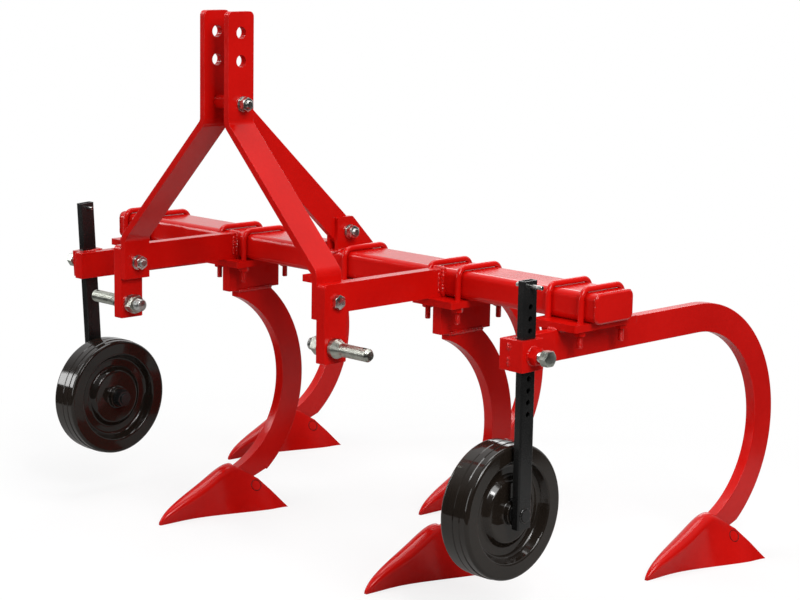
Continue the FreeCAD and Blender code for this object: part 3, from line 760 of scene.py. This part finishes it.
def gathered(places, reach):
    """Middles of the groups that places fall into."""
    groups = []
    for place in places:
        for group in groups:
            if (group[0] - place).length < reach:
                group.append(place)
                break
        else:
            groups.append([place])
    middles = []
    for group in groups:
        low = Vector([min(p[i] for p in group) for i in range(3)])
        high = Vector([max(p[i] for p in group) for i in range(3)])
        middles.append((low + high) / 2)
    return middles


tips = [v.co for v in frame["nodes"]["u_bolts"].data.vertices if v.co.z < leg_end + NEAR]
legs = gathered(tips, LEG_REACH)
cut_z = nut_low.z + LEG_SUNK
bars = trimmed(clean_copy("u_bolts"), (0, 0, cut_z), (0, 0, -1))
ends = points([(Vector((leg.x, leg.y, cut_z)), facing("-z")) for leg in legs])
length = (cut_z - leg_end) / MM
threads = thread.run(ends, red_weld, Radius=LEG, Length=length, Pitch=1.5, Depth=0.75, Chamfer=1.2)
mesh = joined([painted(bars, red_paint), threads])
piece("u_bolts_threaded", mesh, "frame", "frame_paint", "u_bolts")
spun = random.Random(SEED)
places = []
for leg in legs:
    turn = facing("-z", spun.uniform(-CLAMP_SPIN, CLAMP_SPIN))
    places.append((Vector((leg.x, leg.y, nut_high.z)), turn))
height = (nut_high.z - nut_low.z) / MM
sizes = {"Flats": CLAMP_FLATS, "Height": height, "Bore": LEG - 0.2, "Crown": 0.55, "Face": 0.92}
nuts = collar.run(points(places), red_paint, **sizes)
piece("clamp_nuts_chamfered", joined([nuts]), "frame", "frame_paint", "clamp_nuts")

# Lower pins: turned shaft, threaded inner end, washer and nut

PIN_THREAD = 11.0
PIN_THREAD_START = 14.0
PIN_WASHER = 4.0
PIN_NUT = 17.0
leg_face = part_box("hitch_arm_right")[0].x
nut_parts = []
for side, s in SIDES:
    node = "lower_pin_" + side
    centre = middle(node)
    inward = facing(AXIS[-s])
    start = on_line(s * (leg_face - PIN_THREAD_START * MM), centre)
    pin = trimmed(clean_copy(node), start, (-s, 0, 0))
    pin = painted(dressed_edges(pin, 0.4), zinc_turned)
    length = abs(inner_x(node, s) - start.x) / MM
    sizes = {"Radius": PIN_THREAD, "Length": length, "Pitch": 1.8, "Depth": 0.8, "Chamfer": 2.0}
    end = thread.run(points([(start, inward)]), zinc_dark, **sizes)
    piece(node + "_threaded", joined([pin, end]), "frame", "zinc_plate", node)
    place = points([(on_line(s * leg_face, centre), inward)])
    sizes = {"Flats": 32.0, "Height": PIN_WASHER, "Bore": PIN_THREAD, "Crown": 0.4, "Face": 0.95}
    nut_parts.append(collar.run(place, zinc_bright, Round=True, **sizes))
    place = points([(on_line(s * (leg_face - PIN_WASHER * MM), centre), facing(AXIS[-s], 10))])
    bore = PIN_THREAD - NUT_OVERLAP
    sizes = {"Flats": 30.0, "Height": PIN_NUT, "Bore": bore, "Crown": 0.55, "Face": 0.9}
    nut_parts.append(collar.run(place, zinc_turned, **sizes))
piece("lower_pin_nuts_chamfered", joined(nut_parts), "frame", "zinc_plate", "lower_pin_nuts")

# Roll pins through the tops of the struts: the left one thinner and shorter outside.
# Each has its diameter and the distance of its outer end from the middle.

ROLL_PINS = {"left": (5.4, 589.0), "right": (7.0, 606.0)}
for side, s in SIDES:
    node = "strut_pin_" + side
    across, outer = ROLL_PINS[side]
    inner = abs(inner_x(node, s)) / MM
    place = points([(on_line(s * inner * MM, middle(node)), facing(AXIS[s]))])
    sizes = {"Flats": across, "Height": outer - inner, "Bore": across * 0.3, "Crown": 0.8, "Face": 0.84}
    pin = collar.run(place, zinc_bright, Round=True, **sizes)
    piece(node + "_rolled", joined([pin]), side + "_strut", "zinc_plate", node)

# Sleeve nuts and their clamping bolts, turned by the lean of their strut

LEAN = {}
for joint in frame["joints"]:
    if joint["name"].endswith("_wheel_depth"):
        LEAN[joint["child"].split("_")[0]] = math.atan2(-joint["axis"][1], joint["axis"][2])

SET_HEAD = 15.0
SET_THREAD = 12.0
SET_OVERLAP = 0.5
SET_CORE = 7.2
nut_parts = []
for side, s in SIDES:
    node = "set_bolt_" + side
    centre = middle(node)
    turn = facing(AXIS[s], math.degrees(LEAN[side]))
    place = points([(on_line(outer_x("strut_sleeve_" + side, s), centre), turn)])
    sizes = {"Flats": 26.0, "Height": 14.0, "Bore": 7.6, "Crown": 0.55, "Face": 0.92}
    nut_parts.append(collar.run(place, red_paint, **sizes))
    head_at = on_line(outer_x(node, s) - s * SET_HEAD * MM, centre)
    sizes = {"Flats": 24.0, "Height": SET_HEAD, "Bore": 0.0, "Crown": 0.55, "Face": 0.9}
    head = collar.run(points([(head_at, turn)]), zinc_dull, **sizes)
    start = head_at - Vector((s * SET_THREAD * MM, 0, 0))
    length = SET_THREAD + SET_OVERLAP
    sizes = {"Radius": 8.0, "Length": length, "Pitch": 2.0, "Depth": 0.9, "Chamfer": 0.2}
    turns = thread.run(points([(start, facing(AXIS[s]))]), zinc_bright, **sizes)
    core = rod_mesh(on_line(inner_x(node, s), centre), head_at, SET_CORE, zinc_dark)
    piece(node + "_threaded", joined([head, turns, core]), "frame", "zinc_plate", node)
piece("sleeve_nuts_chamfered", joined(nut_parts), "frame", "frame_paint", "sleeve_nuts")

# Welds: fillets round the joints, spatter beside them. The radius and ripple of a bead
# are in mm, and its places in metres.

RING_POINTS = 36
BEAM_CORNER = 0.011
NUT_RING = 0.0136
AXLE_RING = 0.0108
beam_low, beam_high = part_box("main_beam")
plate_low, plate_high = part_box("clamp_plates")
frame_welds = []


def weld(into, radius, run, closed=False, ripple=5.0, material=red_weld):
    """Adds a bead along a run of points to a list, where every bead has its own seed."""
    base = path(run, closed)
    seed = len(into) + SEED
    is_open = 0.0 if closed else 1.0
    into.append(bead.run(base, material, Radius=radius, Ripple=ripple, Seed=seed, Open=is_open))


def circle(x, centre, radius):
    """Points round a centre, across X."""
    ring = []
    for i in range(RING_POINTS):
        angle = math.tau * i / RING_POINTS
        ring.append((x, centre.y + radius * math.cos(angle), centre.z + radius * math.sin(angle)))
    return ring


def weld_arm(side):
    """Bead round the end of a hitch arm at the beam, and a second pass up each side."""
    low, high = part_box("hitch_arm_" + side)
    y, bottom, top = beam_low.y, beam_low.z, beam_high.z
    front, back = y - 0.0004, y + 0.0026
    ring = []
    for x in (low.x - 0.0003, high.x + 0.0003):
        rise = [
            (x, back, bottom + 0.0016), (x, front, bottom + 0.009),
            (x, front, top - 0.009), (x, back, top - 0.0016),
        ]
        ring += rise if x < (low.x + high.x) / 2 else rise[::-1]
    weld(frame_welds, 5.6, ring, closed=True, ripple=6.0)
    for x in (low.x + 0.0026, high.x - 0.0026):
        weld(frame_welds, 5.2, [(x, y - 0.0075, bottom + 0.005), (x, y - 0.0075, top - 0.005)], ripple=7.0)


def weld_ear(s):
    """Bead along the outer foot of an ear and round its front corner."""
    low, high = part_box("brace_ears")
    x, top = s * high.x, beam_high.z
    weld(frame_welds, 3.8, [
        (x, high.y - 0.004, top - 0.0002), (x, low.y + 0.008, top - 0.0002), (x, low.y + 0.001, top - 0.0032),
        (x - s * 0.003, low.y - 0.001, top - 0.004), (x - s * 0.007, low.y - 0.001, top - 0.004),
    ])


def weld_sleeve(side, s):
    """Tacks up both edges of a sleeve and beads along its ends, leaning with it."""
    # The right sleeve stands upright, so its box is the size of both
    low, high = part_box("strut_sleeve_right")
    half = (high - low) / 2
    centre = middle("strut_sleeve_" + side)
    x = centre.x - s * half.x
    lean = LEAN[side]

    def leaning(y, z):
        across = centre.y + y * math.cos(lean) - z * math.sin(lean)
        return x, across, centre.z + y * math.sin(lean) + z * math.cos(lean)

    sunk = 0.0038
    for y in (-half.y + sunk, half.y - sunk):
        weld(frame_welds, 6.2, [leaning(y, half.z - 0.003), leaning(y, half.z - 0.019)], ripple=6.5)
        weld(frame_welds, 6.2, [leaning(y, -half.z + 0.025), leaning(y, -half.z + 0.006)], ripple=6.5)
    for z in (-half.z + 0.002, half.z - 0.002):
        weld(frame_welds, 4.2, [leaning(-half.y + 0.003, z), leaning(half.y - 0.003, z)])


def weld_cap(s):
    """Seam round an end cap of the beam, along its rounded corners."""
    x = s * beam_high.x
    centre = middle("main_beam")
    radius = BEAM_CORNER - 0.001
    low, high = beam_low, beam_high
    corners = ((high.y, high.z), (low.y, high.z), (low.y, low.z), (high.y, low.z))
    ring = []
    for turn, (y, z) in enumerate(corners):
        y += BEAM_CORNER if y < centre.y else -BEAM_CORNER
        z += BEAM_CORNER if z < centre.z else -BEAM_CORNER
        for i in range(7):
            angle = math.radians(90 * turn + 15 * i)
            ring.append((x, y + radius * math.cos(angle), z + radius * math.sin(angle)))
    weld(frame_welds, 2.6, ring, closed=True, ripple=4.5)


def weld_clamp(place):
    """Beads where a clamp plate sits on its bar, and the seam of a front shank in its holder."""
    rear = place.startswith("rear")
    low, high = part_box(("tine_shank_" if rear else "tine_holder_") + place)
    start = max(low.y, plate_low.y) + 0.003
    end = min(high.y, plate_high.y) - 0.004
    level = plate_low.z
    for x in (low.x + 0.001, high.x - 0.001):
        weld(frame_welds, 6.0 if rear else 3.6, [(x, start, level), (x, start + 0.052, level)], ripple=6.5)
        weld(frame_welds, 3.4, [(x, end - 0.05, level), (x, end, level)])
    edge = start - 0.004
    weld(frame_welds, 4.4 if rear else 3.2, [(low.x, edge, level), (high.x, edge, level)])
    if rear:
        return
    low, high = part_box("tine_shank_" + place)
    verts = frame["nodes"]["tine_shank_" + place].data.vertices
    seam = [v.co.y for v in verts if v.co.z > high.z - NEAR]
    y0, y1 = min(seam), max(seam)
    ring = [(low.x, y0, high.z), (high.x, y0, high.z), (high.x, y1, high.z), (low.x, y1, high.z)]
    weld(frame_welds, 4.2, ring, closed=True, ripple=5.5)


for side, s in SIDES:
    weld_arm(side)
    weld_ear(s)
    weld_sleeve(side, s)
    ring = circle(outer_x("strut_sleeve_" + side, s), middle("set_bolt_" + side), NUT_RING)
    weld(frame_welds, 2.8, ring, closed=True)
    weld_cap(s)
for place in PLACES:
    weld_clamp(place)

# Beads on the spacer tubes beside the brace, and a domed tack beside each end of the mast bolt

tube = middle("mast_spacers")
for _, s in SIDES:
    run = []
    for i in range(17):
        angle = math.radians(-56 + 7 * i)
        run.append((s * 0.006, tube.y + 0.0117 * math.cos(angle), tube.z + 0.0117 * math.sin(angle)))
    weld(frame_welds, 2.0, run)
bolt = middle("mast_bolt")
mast_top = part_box("mast_bar_right")[1].z
upper = [v.co.x for v in frame["nodes"]["mast_bar_right"].data.vertices if v.co.z > mast_top - 0.05]
for _, s in SIDES:
    x = s * (max(upper) - 0.0054)
    y = bolt.y - 0.0178
    weld(frame_welds, 7.0, [(x, y, bolt.z - 0.001), (x, y, bolt.z + 0.001)])
piece("frame_welds", joined(frame_welds, SHARP_WELD), "frame", "frame_paint")

# Spatter thrown beside the welds, on whatever steel lies nearest

THROW = 0.009
CLEAR_OF_BEAD = 0.005
VERTS_PER_SPECK = 420
LEAST_SPECKS = 4
STEEL = ("main_beam", "hitch_arm", "tine_shank", "tine_holder", "strut_sleeve", "clamp_plates")
steel = bmesh.new()
for node in frame["nodes"]:
    if node.startswith(STEEL):
        steel.from_mesh(frame["nodes"][node].data)
surface = BVHTree.FromBMesh(steel)
steel.free()
thrown = random.Random(SEED)
specks = []
for mesh in frame_welds:
    verts = mesh.vertices
    for _ in range(max(LEAST_SPECKS, len(verts) // VERTS_PER_SPECK)):
        start = verts[thrown.randrange(len(verts))].co
        reach = Vector([thrown.gauss(0, THROW) for _ in range(3)])
        landed = surface.find_nearest(start + reach)[0]
        if (landed - start).length > CLEAR_OF_BEAD:
            specks.append((landed, (0.0, 0.0, 0.0)))
specks = spatter.run(points(specks), red_weld, Largest=0.95, Seed=SEED)
piece("frame_spatter", joined([specks], SHARP_WELD), "frame", "frame_paint")

# Plow bolts flush in both wings of every share: a dark red ring on the surface, which is painted shade of the
# groove round each head, and a small mark in its middle. Their place behind and above the low corner of the
# share, and their radius, are in mm, and the rest in metres.

PLOW_BACK = 211.0
PLOW_RISE = 45.0
PLOW_HEAD = 10.4
HEAD_POINTS = 40
PLOW_SUNK = 0.0004
MARK_SUNK = 0.0019
BESIDE_SHARE = 0.2
ABOVE_SKIN = 0.02
heads = []
for place in PLACES:
    low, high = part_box("share_" + place)
    wing = bmesh.new()
    wing.from_mesh(frame["nodes"]["share_" + place].data)
    skin = BVHTree.FromBMesh(wing)
    wing.free()
    for _, s in SIDES:
        beside = (low.x + high.x) / 2 + s * BESIDE_SHARE
        origin = Vector((beside, low.y + PLOW_BACK * MM, low.z + PLOW_RISE * MM))
        landed, normal, _, _ = skin.ray_cast(origin, Vector((-s, 0, 0)))
        if normal.x * s < 0:
            normal = -normal
        across = normal.orthogonal().normalized()
        along = normal.cross(across)
        ring = []
        for i in range(HEAD_POINTS):
            angle = math.tau * i / HEAD_POINTS
            out = (across * math.cos(angle) + along * math.sin(angle)) * PLOW_HEAD * MM
            touch = skin.ray_cast(landed + out + normal * ABOVE_SKIN, -normal)[0]
            ring.append(touch - normal * PLOW_SUNK)
        # The ring is painted dark red as shade in the groove round the head
        weld(heads, 1.15, ring, closed=True, ripple=30.0, material=groove_shade_red)
        centre = skin.ray_cast(landed + normal * ABOVE_SKIN, -normal)[0]
        mark = [centre - normal * MARK_SUNK, centre - normal * 0.0017 + across * 0.0016]
        weld(heads, 2.6, mark, ripple=30.0)
piece("plow_bolts", joined(heads, SHARP_WELD), "frame", "frame_paint")

# Welds round the outer ends of the axles

for side, s in SIDES:
    ring = circle(outer_x("wheel_strut_" + side, s), middle("wheel_axle_" + side), AXLE_RING)
    beads = []
    weld(beads, 2.2, ring, closed=True, material=strut_weld)
    piece("strut_weld_" + side, joined(beads, SHARP_WELD), side + "_strut", "strut_paint")

# Floor, light and camera

low, high = cad_box
heart = (low + high) / 2
FLOOR = 1.35
FLOOR_SIDES = 96
FLOOR_GRAIN = 3.0
LIFT_FROM = 0.75
LIFT_TO = FLOOR - 0.05
LIFT_LEAST = 0.78
LIFT_MORE = 0.22
floor_mesh = bpy.data.meshes.new("studio_floor")
rim = [math.tau * i / FLOOR_SIDES for i in range(FLOOR_SIDES)]
corners = [(heart.x + FLOOR * math.cos(a), heart.y + FLOOR * math.sin(a), low.z) for a in rim]
floor_mesh.from_pydata(corners, [], [tuple(range(FLOOR_SIDES))])
floor = bpy.data.objects.new("studio_floor", floor_mesh)
bpy.context.scene.collection.objects.link(floor)
floor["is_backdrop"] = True


def floor_finish():
    """Pale matt floor, lifted to white where the camera sees it, wholly so at its rim."""
    finish = Finish("studio_floor", roughness=0.9, specular_ior_level=0.1)
    grain = finish.noise(FLOOR_GRAIN, 2.0)
    pale = finish.mix(grain, (0.84, 0.84, 0.84, 1), (0.88, 0.88, 0.88, 1))
    glow = finish.node("ShaderNodeEmission", None, {"Color": (1, 1, 1, 1), "Strength": 1.0})
    seen = finish.node("ShaderNodeLightPath", output="Is Camera Ray")
    finish.feed("Base Color", finish.mix(seen, (0.42, 0.42, 0.41, 1), pale))
    east = finish.axis(0) - heart.x
    north = finish.axis(1) - heart.y
    away = (east * east + north * north).maths("SQRT")
    lift = away.within(LIFT_FROM, LIFT_TO) * LIFT_MORE + LIFT_LEAST
    body = Socket(finish, finish.shader.outputs[0])
    mixed = finish.node("ShaderNodeMixShader", None, {0: seen * lift, 1: body, 2: glow})
    finish.tree.links.new(mixed.link, finish.tree.nodes["Material Output"].inputs["Surface"])
    return finish.material


floor_mesh.materials.append(floor_finish())

# White for the camera; for reflections a bright wall behind and above, dim in front
SKY_BEHIND = 0.8
SKY_ABOVE = 0.5
SKY_LEAST = 0.045
SKY_DIFFUSE = 0.27
world = bpy.data.worlds.new("studio")
bpy.context.scene.world = world
world.use_nodes = True
sky = Tree(world.node_tree)
rays = sky.node("ShaderNodeLightPath", output="Is Camera Ray")
mirror = sky.second(rays, "Is Glossy Ray")
place = sky.node("ShaderNodeTexCoord", output="Generated")
east = sky.node("ShaderNodeSeparateXYZ", None, {0: place}, output=0)
north = sky.second(east, 1)
up = sky.second(east, 2)
behind = (north - east).within(0.1, 1.1) * (up + 0.3).within(0.0, 0.3)
above = up.within(0.25, 0.9)
around = (behind * SKY_BEHIND + above * SKY_ABOVE + SKY_LEAST).maths("MINIMUM", 1.0)
strength = rays + mirror * around + (1.0 - rays - mirror) * SKY_DIFFUSE
background = world.node_tree.nodes["Background"]
background.inputs["Color"].default_value = (1, 1, 1, 1)
world.node_tree.links.new(strength.link, background.inputs["Strength"])

# Lamps: name, place from the middle of the object, width and height in metres, watts
LAMPS = (
    ("key", (3.0, -0.9, 2.2), (1.6, 2.2), 86.0),
    ("key_strip", (2.6, -1.5, 2.3), (0.3, 1.1), 26.0),
    ("overhead", (-0.2, 0.3, 3.2), (2.6, 1.6), 58.0),
    ("left_strip", (-2.5, -1.7, 1.1), (0.35, 2.0), 22.0),
    ("fill", (-0.9, -3.6, 1.0), (1.4, 2.2), 35.0),
    ("back", (-1.8, 3.0, 1.8), (2.0, 1.4), 26.0),
)
for name, offset, size, watts in LAMPS:
    data = bpy.data.lights.new(name, "AREA")
    data.shape = "RECTANGLE"
    data.size, data.size_y = size
    data.energy = watts
    lamp = bpy.data.objects.new(name, data)
    bpy.context.scene.collection.objects.link(lamp)
    lamp.location = heart + Vector(offset)
    lamp.rotation_euler = (-Vector(offset)).to_track_quat("-Z", "Y").to_euler()
    lamp.visible_camera = False

# The camera's place in metres, its angles, and its lens and sensor in mm
CAMERA = Vector((2.7128, -2.6948, 1.1051))
HEADING = math.radians(44.89)
DOWN = math.radians(10.10)
ROLL = math.radians(0.99)
LENS = 95.09
SENSOR = 36.0
ahead = Vector((-math.sin(HEADING) * math.cos(DOWN), math.cos(HEADING) * math.cos(DOWN), -math.sin(DOWN)))
right = Vector((math.cos(HEADING), math.sin(HEADING), 0))
above = right.cross(ahead)
level_right = right * math.cos(ROLL) + above * math.sin(ROLL)
level_up = above * math.cos(ROLL) - right * math.sin(ROLL)
camera_data = bpy.data.cameras.new("camera")
camera_data.lens = LENS
camera_data.sensor_width = SENSOR
camera = bpy.data.objects.new("camera", camera_data)
bpy.context.scene.collection.objects.link(camera)
turn = Matrix((level_right, level_up, -ahead)).transposed().to_4x4()
camera.matrix_world = Matrix.Translation(CAMERA) @ turn
bpy.context.scene.camera = camera
bpy.context.scene.view_settings.view_transform = "Standard"

sizes = {"cad": [list(corner) for corner in cad_box], "visual": [list(corner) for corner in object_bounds()]}
